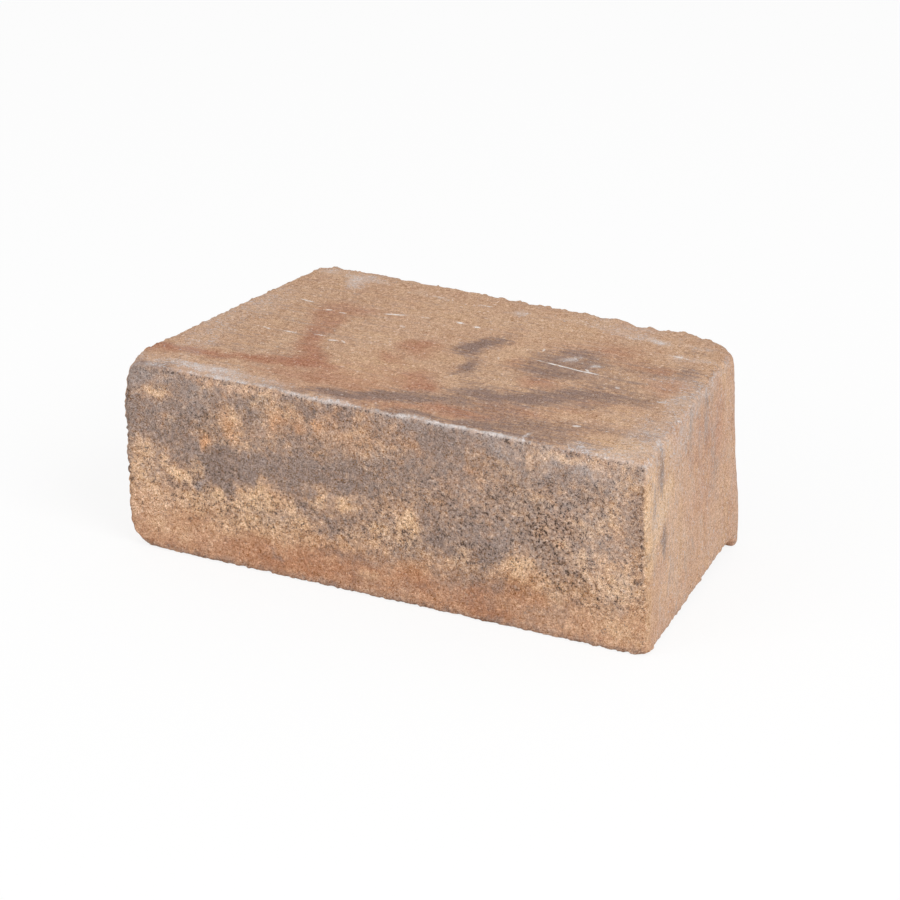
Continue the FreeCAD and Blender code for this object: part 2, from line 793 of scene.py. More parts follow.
        # The pebble share paints the crumbs of the porous skin lighter in their middles and shaded at their
        # edges.
        tone = bench.total((grain.sand, 0.25), (grain.grit, 0.55), (grain.dust, 3.0), (grain.speck, 1.5),
                           (grain.fleck, 0.20), (grain.streak, 0.7), (grain.pebble, -1.0))
        swung = bench.times(tone, swing)
        even = bench.total((skin.bed, -0.045), (skin.face, 0.03), (skin.flank, -0.006), (1.0, 1.06))
        shade = bench.add("ShaderNodeCombineColor")
        for socket, share in zip(shade.inputs, self.finish.grey_swing):
            bench.feed(socket, bench.total((swung, share), (even, 1.0)))
        return bench.mix(1.0, colour, shade.outputs[0], "MULTIPLY")

    def hollows(self) -> Socket:
        """Open the skin in small pores.

        Returns:
            How open it is at each place, from 0 to 1.
        """
        skin, grain = self.skin, self.grain
        depth = self.bench.total((grain.knot, 0.10), (grain.fleck, 0.28), (grain.speck, 0.68),
                                 (grain.dust, 0.36), (skin.porous, 0.030), (grain.pebble, 0.30))
        return self.bench.step(depth, 0.114, 0.130)

    def whiten(self, colour: Socket) -> Socket:
        """Lay chalky haze, flakes of chalk and white specks over the colour.

        Args:
            colour: The colour of the concrete.

        Returns:
            The whitened colour.
        """
        bench, finish, skin, grain = self.bench, self.finish, self.skin, self.grain
        haze = bench.total((skin.chalk, 1.0), (grain.fleck, 0.25), (grain.clump, 0.5))
        flakes = bench.total((skin.chalk, 0.80), (grain.grit, 0.20), (grain.dust, 0.8), (grain.speck, 1.2),
                             (grain.fleck, 0.5), (grain.knot, 0.7))
        held = bench.total((skin.face, -0.50), (1.0, 1.0))
        flakes = bench.times(bench.step(flakes, 0.55, 0.65, 0.0, 0.85), held)
        veil = bench.math("MAXIMUM", bench.step(haze, 0.10, 1.10, 0.0, 0.52), flakes)
        colour = bench.mix(veil, colour, finish.chalk)
        often = bench.total((skin.bed, 0.24), (skin.face, 0.06))
        specks = bench.times(bench.step(grain.grit, 0.484, 0.494), often)
        return bench.mix(specks, colour, finish.bloom)

    def fine_relief(self, hollow: Socket) -> Socket:
        """Put the fine relief of the grain into the surface normal.

        Args:
            hollow: Where the pores are.

        Returns:
            The normal for the shader.
        """
        bench, skin, grain = self.bench, self.skin, self.grain
        bump = bench.add("ShaderNodeBump")
        bump.inputs["Distance"].default_value = self.finish.relief
        bench.feed(bump.inputs["Strength"], bench.total((skin.face, 0.45), (1.0, 0.35)))
        height = bench.total((grain.crumb, -0.5), (grain.fleck, 0.55), (grain.speck, 0.5), (hollow, -1.6),
                             (grain.pebble, -3.4))
        bench.feed(bump.inputs["Height"], height)
        return bump.outputs[0]

    def drag_marks(self, scratches: Sequence[Scratch], level: LevelFrame) -> Socket:
        """Draw the pale drag marks on the top bed.

        Args:
            scratches: The marks to draw.
            level: The level axes that they are placed on.

        Returns:
            The strongest mark at each place, from 0 to 1.
        """
        bench = self.bench
        spare_length, any_height = 0.0005, 10
        strongest: Feed = 0.0
        for scratch in scratches:
            ends = level.to_rest(np.array([[*scratch.start, level.height], [*scratch.end, level.height]]))
            run = ends[1] - ends[0]
            half_length = 0.5 * math.hypot(run[0], run[1]) + spare_length
            half_width = 0.5 * scratch.width / MM_PER_METRE
            spot = bench.add("ShaderNodeMapping", vector_type="TEXTURE")
            bench.feed(spot.inputs["Vector"], self.places)
            spot.inputs["Location"].default_value = (ends[0] + ends[1]) / 2
            spot.inputs["Rotation"].default_value = (0, 0, math.atan2(run[1], run[0]))
            spot.inputs["Scale"].default_value = (half_length, half_width, any_height)
            length = bench.add("ShaderNodeVectorMath", operation="LENGTH")
            bench.feed(length.inputs[0], spot.outputs[0])
            mark = bench.step(length.outputs["Value"], 0.55, 1.1, scratch.strength, 0.0)
            strongest = bench.math("MAXIMUM", mark, strongest)
        return strongest


# Dabs of pigment, in millimetres: place, length, width, strength and turn.
SMEARS: dict[tuple[Side, Pigment], tuple[Smear, ...]] = {
    (Side.TOP, Pigment.CHARCOAL): smears(
        (-98, 78, 42, 62, 0.25), (36, 70, 30, 12, 0.26), (14, 104, 6, 4, 0.66, 65),
        (8, 95, 10, 6, 1.00, 60), (4, 88, 8, 7, 0.96, 70), (9, 77, 6, 3, 0.56, -60),
        (14, 68, 8, 3.5, 0.88, 95), (14, 59, 4, 2.5, 0.52, 95), (14, 70, 5, 9, 0.62),
        (55, 105, 9, 7, 0.70), (50, 97, 9, 8, 0.60), (62, 94, 11, 7, 0.60), (57, 80, 17, 6, 0.76),
        (57, 90, 15, 12, 0.64), (52, 84, 14, 11, 0.66), (62, 100, 14, 8, 0.55), (88, 98, 18, 12, 0.36),
        (116, 106, 8, 8, 0.60), (101, 97, 7, 5, 0.49), (86, 82, 16, 6, 0.38), (100, 104, 14, 8, 0.36),
        (-40, 7, 12, 4, 0.55, 5), (-24, 10, 13, 5, 0.86, 10), (-6, 17, 13, 6, 0.86, 20),
        (10, 22, 13, 6, 0.78, 8), (26, 27, 10, 5, 0.66, 15), (26, 36, 9, 4, 0.58),
        (44, 39, 14, 8, 0.80, 12), (62, 47, 13, 9, 0.78, 20), (78, 58, 13, 9, 0.80, 30),
        (94, 62, 14, 9, 0.70, 10), (112, 68, 13, 7, 0.62, 12), (87, 74, 12, 5, 0.55, 5),
        (28, 48, 9, 3, 0.40, -20), (34, 68, 6, 4, 0.26), (24, 54, 14, 5, 0.42, -35),
        (72, 17, 20, 9, 0.74, 5), (60, 9, 14, 5, 0.66), (88, 22, 16, 6, 0.62, 10),
        (112, 27, 16, 4, 0.46, 8), (132, 31, 9, 5, 0.46, 15), (92, 9, 14, 7, 0.60),
        (54, 24, 22, 7, 0.50, 8), (48, 32, 14, 5, 0.52, 8), (20, 4, 36, 4, 0.73), (64, 4, 30, 4, 0.73),
        (102, 3, 18, 3, 0.55), (-60, 2, 26, 3, 0.49), (107, 132, 7, 7, 0.39), (-132, 2, 14, 4, 0.85),
        (126, 90, 5, 12, 0.40, 20), (134, 60, 4, 20, 0.35, 18), (128, 48, 10, 16, 0.26),
        (90, 48, 10, 4, 0.46), (112, 10, 10, 5, 0.46), (112, 62, 10, 4, 0.60),
    ),
    (Side.TOP, Pigment.TERRACOTTA): smears(
        (-86, 98, 8, 9, 0.58), (-74, 108, 14, 7, 0.54), (-78, 84, 14, 8, 0.56, 95),
        (-76, 66, 11, 6, 0.70, 95), (-70, 54, 9, 5, 0.74, -55), (-60, 43, 9, 7, 0.70, -40),
        (-60, 35, 19, 6, 0.84), (-85, 31, 14, 4, 0.74, 8), (-110, 27, 20, 4, 0.68, 3),
        (-136, 24, 12, 5, 0.70, -3), (-20, 77, 9, 9, 0.70), (-12, 76, 8, 8, 0.50),
        (-26, 60, 9, 5, 0.72, -20), (-17, 52, 5, 5, 0.50), (-3, 41, 10, 10, 0.74, 90),
        (6, 35, 10, 6, 0.68), (56, 63, 11, 7, 0.60, -10), (36, 82, 8, 10, 0.44), (86, 105, 12, 6, 0.46),
        (103, 104, 7, 5, 0.58), (40, 17, 26, 6, 0.66, 4), (2, 11, 26, 4, 0.55), (-50, 21, 40, 6, 0.47),
        (68, 31, 14, 5, 0.64, 5), (96, 50, 16, 5, 0.52), (112, 88, 12, 8, 0.50), (40, 76, 12, 6, 0.42),
        (-60, 125, 26, 12, 0.32), (30, 112, 20, 10, 0.32), (72, 116, 16, 8, 0.48), (88, 40, 14, 5, 0.48),
        (-45, 8, 30, 5, 0.45), (-22, 40, 22, 18, 0.48), (-36, 26, 20, 8, 0.58), (52, 28, 14, 5, 0.50),
    ),
    (Side.TOP, Pigment.OCHRE): smears(
        (-38, 45, 14, 12, 0.46), (-45, 76, 14, 14, 0.40), (-30, 125, 44, 12, 0.34),
        (25, 128, 30, 14, 0.38), (102, 48, 18, 5, 0.52, 8), (25, 58, 12, 12, 0.32), (124, 15, 14, 9, 0.50),
        (108, 42, 14, 5, 0.46), (28, 95, 8, 16, 0.34), (84, 36, 10, 4, 0.44), (-108, 125, 14, 14, 0.26),
        (70, 29, 12, 4, 0.34), (-24, 48, 22, 16, 0.42), (56, 55, 9, 5, 0.40), (128, 10, 12, 6, 0.42),
    ),
    (Side.TOP, Pigment.ORANGE): smears(
        (-26, 38, 26, 18, 0.24), (-40, 60, 18, 34, 0.16), (-14, 92, 20, 20, 0.12),
    ),
    (Side.TOP, Pigment.CHALK): smears(
        (-93, 141, 12, 6, 0.60, 115), (-85, 149, 10, 5, 0.58), (-104, 9, 22, 5, 0.68),
        (-92, 3, 18, 4, 0.55), (-124, 6, 14, 5, 0.46), (-62, 6, 12, 3, 0.38), (70, 137, 24, 4, 0.44, -6),
        (84, 136, 5, 3, 0.75), (73, 134, 6, 2.5, 0.55), (5, 143, 4, 4, 0.60, 40),
        (112, 123, 16, 4, 0.44, 3), (103, 119, 4, 3, 0.45), (129, 71, 9, 6, 0.45, -60),
        (122, 70, 2, 3.5, 0.75, 60), (140, 24, 4, 9, 0.55, 15), (134, 36, 6, 5, 0.46),
        (134, 58, 4, 12, 0.46, 15), (54, 99, 5, 2.5, 0.72, -30), (70, 95, 3, 2.5, 0.85, 30),
        (81, 5, 1.5, 5, 0.70), (112, 5, 10, 4, 0.50), (40, 141, 28, 2, 0.38), (-20, 2, 16, 3, 0.50),
        (40, 1, 60, 2, 0.50), (-126, 50, 12, 38, 0.36, 12), (-120, 95, 12, 24, 0.36, 8),
        (-45, 139, 30, 2, 0.30), (104, 140, 10, 5, 0.36), (132, 30, 12, 26, 0.40, 8),
        (-90, 9, 36, 5, 0.36), (-136, 6, 10, 6, 0.36), (60, 147, 26, 5, 0.42), (128, 84, 8, 22, 0.42, 18),
        (110, 92, 12, 9, 0.36), (130, 8, 14, 6, 0.44), (-112, 148, 10, 6, 0.44), (-108, 9, 14, 3, 0.80),
        (-70, 8, 16, 3, 0.48),
    ),
    (Side.FRONT, Pigment.CHARCOAL): smears(
        (108, 60, 46, 44, -0.15), (-134, 20, 18, 12, -0.60), (-136, 97, 14, 5, 0.90),
        (-108, 88, 18, 9, 0.74), (-138, 75, 10, 12, 0.84), (-116, 76, 14, 12, 0.74),
        (-122, 65, 18, 5, 0.78), (-92, 52, 11, 12, 1.02), (-76, 56, 12, 7, 0.88), (-52, 59, 16, 7, 0.82),
        (-22, 62, 22, 7, 0.86), (-4, 62, 10, 7, 0.70), (-101, 41, 6, 4, 0.78), (-72, 90, 9, 6, 0.70, 40),
        (-45, 42, 7, 4, 0.84), (-28, 37, 6, 4, 0.64, 90), (-13, 36, 8, 4, 0.64), (48, 46, 24, 9, 0.56),
        (33, 38, 12, 7, 0.76), (62, 38, 10, 6, 0.74), (92, 60, 12, 9, 0.54), (100, 42, 10, 6, 0.50),
        (80, 56, 8, 7, 0.66), (122, 52, 7, 6, 0.54), (105, 86, 20, 8, 0.68), (133, 82, 7, 12, 0.36),
        (35, 95, 18, 5, 0.84), (12, 67, 10, 5, 0.70), (70, 73, 18, 7, 0.60), (-20, 94, 24, 4, 0.64),
        (5, 26, 22, 4, 0.46, 6), (58, 22, 18, 5, 0.54), (90, 10, 14, 5, 0.32), (130, 10, 14, 6, 0.26),
        (-62, 12, 3, 2.5, 0.50), (-14, 20, 14, 3, 0.50), (-132, 51, 9, 8, -0.42), (-115, 46, 9, 6, -0.70),
        (-85, 80, 8, 7, -0.58, 30), (-98, 65, 4, 5, -0.60, 60), (-58, 84, 5, 9, -0.55, 15),
        (-46, 88, 6, 7, -0.50), (-70, 44, 11, 5, -0.90), (-84, 36, 10, 4, -0.75), (-57, 40, 8, 6, -0.60),
        (-33, 46, 5, 4, -0.55), (-18, 45, 6, 4, -0.60), (12, 43, 7, 9, -0.84), (81, 35, 8, 7, -0.80),
        (101, 51, 3, 3, -0.80), (96, 57, 10, 7, -0.16), (114, 63, 8, 6, -0.22), (131, 68, 8, 8, -0.45),
        (132, 40, 12, 12, -0.60), (-76, 99, 30, 3, -0.75), (-128, 90, 8, 5, -0.50, 30),
        (-14, 84, 20, 8, -0.25), (18, 84, 10, 7, -0.16), (40, 64, 14, 6, -0.12), (110, 97, 22, 3, -0.50),
        (88, 76, 8, 5, -0.30), (112, 44, 4, 5, -0.55), (-103, 53, 4, 5, -0.55), (-136, 37, 10, 8, -0.42),
        (-3, 35, 6, 5, -0.60), (111, 43, 7, 6, -0.50), (-112, 33, 14, 6, -0.55), (-76, 70, 11, 5, -0.40),
        (6, 52, 12, 7, -0.28), (102, 19, 10, 7, 0.50), (-120, 73, 5, 4, -0.35), (-32, 56, 14, 5, 0.88),
        (-12, 56, 10, 4, 0.84), (18, 34, 9, 5, 0.64), (132, 12, 12, 8, -0.70), (60, 12, 18, 6, 0.40),
        (2, 8, 16, 5, 0.28), (-30, 10, 12, 5, 0.24), (137, 92, 8, 8, -0.22), (60, 92, 14, 6, 0.74),
        (84, 83, 10, 6, 0.70), (36, 84, 10, 9, 0.80), (34, 20, 10, 5, 0.46), (51, 31, 9, 5, 0.62),
        (-40, 95, 10, 4, 0.70), (120, 70, 6, 5, 0.56), (0, 9, 40, 4, 0.34),
    ),
    (Side.FRONT, Pigment.TERRACOTTA): smears(
        (-134, 22, 16, 12, -0.30), (-78, 98, 28, 3, 0.52), (-87, 93, 5, 4, 0.58),
        (-56, 84, 3, 6, 0.70, -10), (-46, 80, 6, 6, 0.58), (-33, 84, 5, 5, 0.60),
        (-98, 64, 3, 5, 0.80, -20), (-87, 80, 8, 7, 0.56), (-44, 92, 10, 5, 0.55), (20, 86, 13, 9, 0.50),
        (-18, 88, 18, 9, 0.50), (54, 78, 6, 4, 0.55), (5, 12, 20, 7, 0.68), (54, 13, 11, 8, 0.80),
        (-50, 8, 20, 6, 0.72), (-100, 15, 30, 8, 0.48), (-112, 22, 6, 5, 0.58), (-84, 9, 12, 5, 0.68, 30),
        (100, 56, 16, 8, 0.20), (118, 26, 16, 10, 0.26), (114, 12, 24, 10, -0.22),
        (-122, 14, 20, 9, -0.08), (-20, 24, 30, 5, 0.50), (78, 20, 24, 6, 0.56), (64, 14, 14, 8, 0.76),
        (-12, 14, 16, 8, 0.74), (-60, 13, 26, 8, 0.64), (-90, 22, 24, 5, 0.48),
    ),
    (Side.FRONT, Pigment.OCHRE): smears(
        (-132, 51, 9, 8, 0.44), (-114, 46, 9, 5, 0.68), (-127, 90, 7, 4, 0.50, 30), (-84, 35, 10, 4, 0.66),
        (-70, 45, 3.5, 3.5, 0.98), (-68, 40, 12, 5, 0.74), (-18, 45, 5, 4, 0.66), (-34, 46, 5, 4, 0.58),
        (13, 44, 6, 8, 0.74), (81, 35, 7, 6, 0.70), (101, 51, 2.5, 2.5, 1.0), (43, 33, 4, 3.5, 0.68),
        (113, 46, 4, 5, 0.66, 30), (129, 70, 6, 5, 0.50), (-118, 72, 3, 3, 0.78), (-78, 24, 14, 4, 0.50),
        (134, 38, 9, 8, 0.55), (70, 15, 7, 5, 0.34), (-5, 12, 6, 4, 0.50), (-84, 84, 5, 4, 0.55),
        (-66, 92, 7, 3, 0.60, 50), (-48, 91, 4, 4, 0.58), (105, 97, 14, 3, 0.55), (118, 62, 6, 5, 0.42),
        (-58, 31, 24, 4, 0.50), (95, 22, 6, 5, 0.55), (75, 85, 5, 4, 0.50), (90, 71, 5, 4, 0.50),
        (-103, 53, 4, 5, 0.58), (-136, 38, 9, 7, 0.50), (-3, 36, 6, 5, 0.60), (111, 43, 6, 5, 0.52),
        (132, 12, 12, 8, 0.52), (112, 14, 18, 8, 0.22), (-122, 14, 18, 8, 0.38), (137, 92, 8, 8, 0.40),
        (-70, 22, 34, 6, 0.40), (-108, 34, 12, 5, 0.46), (-70, 69, 7, 4, 0.46),
    ),
    (Side.FRONT, Pigment.ORANGE): smears(
        (-98, 64, 3, 4, 0.80, -20), (-88, 79, 6, 5, 0.42, 20), (-84, 71, 5, 4, 0.44),
        (-57, 84, 3, 6, 0.60, -10), (-46, 82, 5, 4, 0.44), (-46, 90, 5, 4, 0.32), (-88, 93, 3, 3, 0.52),
        (-33, 85, 5, 4, 0.50), (-20, 82, 8, 4, 0.34), (20, 85, 6, 3, 0.36), (54, 78, 3, 2.5, 0.40),
        (101, 51, 2.5, 2.5, 0.56), (-84, 9, 12, 4, 0.22, 25), (-47, 7, 14, 4, 0.30), (4, 11, 9, 4, 0.24),
        (52, 14, 9, 5, 0.14), (72, 10, 7, 5, 0.14), (94, 20, 5, 3, 0.34), (-8, 76, 8, 4, 0.30),
        (-66, 78, 5, 5, 0.32), (-133, 86, 4, 3, 0.30, 30),
    ),
    (Side.FRONT, Pigment.CHALK): smears(
        (-78, 98, 28, 3, 0.44), (-128, 99, 14, 3, 0.42), (-137, 95, 5, 5, 0.42), (72, 95, 12, 6, 0.48),
        (-102, 42, 5, 3, 0.55, 20), (60, 98, 50, 4, 0.40), (-115, 85, 20, 10, 0.28),
        (115, 92, 25, 8, 0.48), (-135, 76, 8, 8, 0.28), (-70, 33, 22, 5, 0.28), (60, 45, 30, 10, 0.28),
        (136, 88, 10, 12, 0.34), (86, 90, 12, 7, 0.38), (40, 90, 14, 6, 0.26), (-102, 90, 12, 8, 0.34),
        (108, 60, 34, 18, 0.38), (134, 36, 12, 14, 0.36), (60, 66, 24, 8, 0.32),
    ),
    (Side.RIGHT, Pigment.CHARCOAL): smears(
        (21, 89, 6, 12, 0.66), (28, 54, 4, 8, 0.42), (12, 76, 4, 5, 0.38), (63, 87, 9, 10, 0.32),
        (105, 95, 8, 8, 0.42), (14, 46, 4, 5, 0.30), (72, 26, 9, 6, 0.28), (50, 82, 6, 8, 0.26),
        (2, 52, 3, 4, 0.45), (80, 97, 34, 5, 0.30), (108, 45, 8, 10, 0.24), (92, 78, 22, 14, 0.30),
        (23, 84, 4, 9, 0.80), (28, 53, 3, 9, 0.72), (104, 62, 9, 12, 0.28),
    ),
    (Side.RIGHT, Pigment.TERRACOTTA): smears(
        (46, 40, 24, 34, -0.25), (92, 45, 20, 12, 0.46), (120, 70, 11, 18, 0.54), (58, 12, 26, 8, 0.38),
        (88, 25, 12, 14, 0.38), (118, 52, 10, 8, 0.42), (92, 76, 22, 14, 0.50),
    ),
    (Side.RIGHT, Pigment.OCHRE): smears(
        (5, 76, 9, 22, 0.75), (29, 71, 10, 8, 0.80), (14, 61, 8, 9, 0.60), (32, 92, 7, 8, 0.45),
        (45, 50, 12, 34, 0.36), (128, 92, 6, 8, 0.45), (100, 8, 40, 8, 0.30), (20, 68, 14, 6, 0.92, 15),
        (10, 64, 8, 14, 0.85), (34, 74, 7, 5, 0.92), (6, 62, 6, 16, 0.90),
    ),
    (Side.RIGHT, Pigment.CHALK): smears(
        (6, 98, 8, 6, 0.45), (90, 99, 44, 4, 0.50), (30, 98, 18, 4, 0.50), (22, 88, 8, 10, 0.40),
        (70, 84, 36, 16, 0.36), (14, 68, 16, 10, 0.40), (60, 40, 60, 40, 0.32), (50, 91, 18, 8, 0.48),
        (100, 10, 36, 8, 0.34),
    ),
    (Side.BACK, Pigment.CHARCOAL): smears(
        (-70, 70, 30, 14, 0.55, 8), (40, 40, 34, 12, 0.60, -6), (85, 78, 20, 10, 0.52),
        (-30, 22, 26, 8, 0.48, 4),
    ),
    (Side.BACK, Pigment.TERRACOTTA): smears(
        (-40, 50, 40, 16, 0.50), (60, 20, 34, 12, 0.55), (20, 85, 40, 8, 0.45),
    ),
    (Side.LEFT, Pigment.CHARCOAL): smears(
        (35, 62, 5, 18, 0.50), (18, 85, 6, 9, 0.50), (80, 70, 6, 16, 0.34), (120, 40, 8, 14, 0.36),
    ),
    (Side.LEFT, Pigment.TERRACOTTA): smears(
        (70, 35, 22, 12, 0.46), (125, 78, 10, 14, 0.42),
    ),
    (Side.LEFT, Pigment.OCHRE): smears(
        (12, 50, 9, 24, 0.65), (52, 60, 8, 20, 0.40),
    ),
    (Side.UNDER, Pigment.CHARCOAL): smears(
        (-60, 60, 30, 22, 0.48, 20), (55, 95, 34, 16, 0.50, -10), (80, 35, 24, 10, 0.46, 12),
    ),
    (Side.UNDER, Pigment.TERRACOTTA): smears(
        (-20, 100, 40, 16, 0.48), (20, 40, 34, 14, 0.45, 10),
    ),
}

# Where the skin of the front is open and crumbly, in the same form.
FRONT_POROUS = smears(
    (95, 55, 20, 18, 0.9), (104, 36, 16, 12, 0.7), (-102, 36, 18, 9, 0.7), (8, 42, 14, 13, 0.6),
    (-20, 36, 22, 7, 0.4), (-95, 52, 14, 14, 0.4), (72, 66, 18, 12, 0.6), (143, 58, 3, 30, 0.25),
    (-98, 74, 10, 14, 0.5), (36, 58, 18, 12, 0.6), (112, 74, 18, 12, 0.6), (-66, 25, 34, 6, 0.5),
    (-60, 40, 30, 8, 0.5), (122, 24, 16, 12, 0.6), (50, 40, 20, 10, 0.5),
)

# Pale drag marks on the top bed: start, end, width and strength.
SCRATCHES = (
    Scratch((-57, 108), (-45, 111.5), 2.0, 0.95), Scratch((-38, 113), (-33, 113.4), 1.8, 0.60),
    Scratch((-19, 115.5), (-14, 114.5), 2.4, 0.95), Scratch((-8, 113), (-4.5, 114), 2.7, 0.95),
    Scratch((-106, 107), (-97, 106), 1.8, 0.72), Scratch((-104, 67), (-99, 65.5), 1.5, 0.72),
    Scratch((-92, 67), (-84, 67), 1.8, 0.72), Scratch((-76, 70), (-69, 70.3), 1.5, 0.72),
    Scratch((-66, 66.5), (-60, 68), 1.8, 0.72), Scratch((-59, 69), (-56, 67), 1.5, 0.72),
    Scratch((-88, 99.5), (-83, 101), 2.1, 0.60), Scratch((-79, 100), (-74, 100), 1.4, 0.60),
    Scratch((46, 89.2), (62, 87.6), 1.5, 0.95), Scratch((58, 87.8), (78, 86.6), 1.8, 0.95),
    Scratch((38, 90), (46, 89.4), 1.0, 0.60), Scratch((68, 90.5), (71, 88), 1.5, 0.72),
    Scratch((-20, 141), (-12, 141.2), 1.5, 0.60), Scratch((-47, 140.4), (-40, 140.6), 1.5, 0.60),
    Scratch((98, 124), (109, 123.4), 2.1, 0.60), Scratch((37.6, 104.5), (38.4, 101), 1.5, 0.60),
    Scratch((92, 76.5), (94.5, 75), 2.4, 0.60), Scratch((95, 25.5), (99, 26.5), 2.1, 0.72),
    Scratch((-42, 98.5), (-39, 97.5), 2.7, 0.48), Scratch((22, 85), (23.5, 82), 1.4, 0.60),
)


@dataclass(frozen=True)
class Surface:
    """The block's surface before wear, point by point, in level millimetres.

    The shares say how far each point belongs to each side, and the arris how near it is to an edge.
    """

    points: Array
    normals: Array
    shares: dict[Side, Array]
    arris: Array

    @property
    def x(self) -> Array:
        """Return the places along the wall."""
        return self.points[:, 0]

    @property
    def y(self) -> Array:
        """Return the distances behind the front face."""
        return self.points[:, 1]

    @property
    def z(self) -> Array:
        """Return the heights above the underside bed."""
        return self.points[:, 2]

    @property
    def flanks(self) -> Array:
        """Return how far each point belongs to either of the two flanks."""
        return self.shares[Side.RIGHT] + self.shares[Side.LEFT]


@dataclass
class WallBlock:
    """The block itself: one casting, worn and pitted as it left the mould and the yard.

    Sizes are in level millimetres. The flank is the level direction that the right-hand side faces. Each
    round of refining has the look below which a point counts as an edge, and whether the front is halved
    too. The base is the charcoal, terracotta, ochre and chalk of each side before its dabs.
    """

    node: str = "retaining_wall_block"
    slot: str = "concrete"
    mesh_step: float = 2.2
    arris_radius: float = 3.8
    flank: tuple[float, float] = (0.9855, 0.1696)
    refining: tuple[tuple[float, bool], ...] = ((0.985, True), (0.90, False))
    back_corner_start: float = 138.0
    upright_look: float = 0.3
    side_sharpness: int = 6
    edge_look: float = 0.97
    edge_fade: float = 0.10
    edge_spread: float = 0.92
    edge_rounds: int = 3
    stain_wander: float = 3.4
    sand: Sand = Sand(11)
    base: dict[Side, Colour] = field(default_factory=lambda: {
        Side.TOP: (0.13, 0.25, 0.21, 0.06),
        Side.FRONT: (0.63, 0.29, 0.16, 0.21),
        Side.RIGHT: (0.09, 0.35, 0.25, 0.30),
        Side.LEFT: (0.14, 0.30, 0.28, 0.16),
        Side.BACK: (0.30, 0.32, 0.26, 0.10),
        Side.UNDER: (0.28, 0.30, 0.24, 0.12),
    })
    worn: tuple[WornCorner, ...] = (
        WornCorner((-147.5, 0, 0), (-0.55, -0.50, -0.66), 6.8),
        WornCorner((-147.5, 0, 101.6), (-0.62, -0.50, 0.60), 8.0, 2.6),
        WornCorner((120.5, 157, 101.6), (0.50, 0.50, 0.70), 7.6, 3.4),
        WornCorner((147.5, 0, 0), (0.50, -0.55, -0.66), 3.4),
    )
    dents: tuple[Dent, ...] = (
        Dent((-147, 2, 74), (10, 12, 8), -1.4),
        Dent((-147, 2, 48), (10, 12, 12), -1.1),
        Dent((-147, 2, 22), (10, 12, 14), -1.2),
        Dent((121, 148, 12), (16, 18, 26), -1.5),
        Dent((43, 157, 101), (4, 7, 6), 1.0),
        Dent((52, 157, 101), (4, 7, 6), -0.6),
        Dent((65, 157, 101), (5, 7, 6), 2.0),
        Dent((77, 157, 101), (5, 7, 6), 1.5),
        Dent((104, 157, 101), (8, 7, 6), 0.8),
    )

    def build(self, level: LevelFrame, cad: bpy.types.Object) -> bpy.types.Object:
        """Make the worn mesh over the solid and paint its layers.

        Args:
            level: The level axes of the block.
            cad: The solid's own object.

        Returns:
            The finished piece, without its material.
        """
        mesh = self.even_mesh(level, cad)
        surface = self.survey(mesh)
        stood = level.to_rest(self.roughen(surface))
        self.paint(mesh, surface, level)
        stood[:, 2] = np.maximum(stood[:, 2], 0.0)
        mesh.vertices.foreach_set("co", stood.ravel())
        mesh.polygons.foreach_set("use_smooth", np.ones(len(mesh.polygons), dtype=bool))
        mesh.update()
        piece = bpy.data.objects.new("worn_wall_block", mesh)
        bpy.context.scene.collection.objects.link(piece)
        return piece

    def even_mesh(self, level: LevelFrame, cad: bpy.types.Object) -> bpy.types.Mesh:
        """Return a mesh of the solid in level metres, finer on the front and finest along the edges.

        Args:
            level: The level axes of the block.
            cad: The solid's own object.

        Returns:
            A mesh of small faces that follows the solid.
        """
        rough = cad.data.copy()
        lying = level.to_level(read_triples(rough.vertices, "co")) / MM_PER_METRE
        rough.vertices.foreach_set("co", lying.ravel())
        holder = bpy.data.objects.new("level_block", rough)
        bpy.context.scene.collection.objects.link(holder)
        evener = holder.modifiers.new("even", "REMESH")
        evener.mode = "VOXEL"
        evener.voxel_size = self.mesh_step / MM_PER_METRE
        evaluated = holder.evaluated_get(bpy.context.evaluated_depsgraph_get())
        mesh = bpy.data.meshes.new_from_object(evaluated)
        mesh.name = "worn_wall_block"
        self.refine(mesh)
        corners = [corner.co for corner in rough.vertices]
        solid = BVHTree.FromPolygons(corners, [face.vertices for face in rough.polygons])
        settled = [solid.find_nearest(corner.co)[0] for corner in mesh.vertices]
        mesh.vertices.foreach_set("co", np.array(settled).ravel())
        mesh.update()
        bpy.data.objects.remove(holder)
        bpy.data.meshes.remove(rough)
        mesh.materials.clear()
        return mesh

    def refine(self, mesh: bpy.types.Mesh) -> None:
        """Halve the faces of the front and along the edges, and halve the sharp edges' faces once more.

        Args:
            mesh: The even mesh, changed in place.
        """
        grid = bmesh.new()
        grid.from_mesh(mesh)
        for straightest, with_front in self.refining:
            grid.normal_update()
            normals = np.array([corner.normal for corner in grid.verts])
            back = np.array([corner.co.y for corner in grid.verts]) > self.back_corner_start / MM_PER_METRE
            looks = self.side_looks(normals)
            fine = np.max(list(looks.values()), axis=0) < straightest
            fine &= ~(back & (np.abs(normals[:, 2]) < self.upright_look))
            if with_front:
                fine |= looks[Side.FRONT] > straightest
            chosen = [edge for edge in grid.edges if all(fine[corner.index] for corner in edge.verts)]
            bmesh.ops.subdivide_edges(grid, edges=chosen, cuts=1, use_grid_fill=True)
            grid.verts.index_update()
        grid.to_mesh(mesh)
        grid.free()

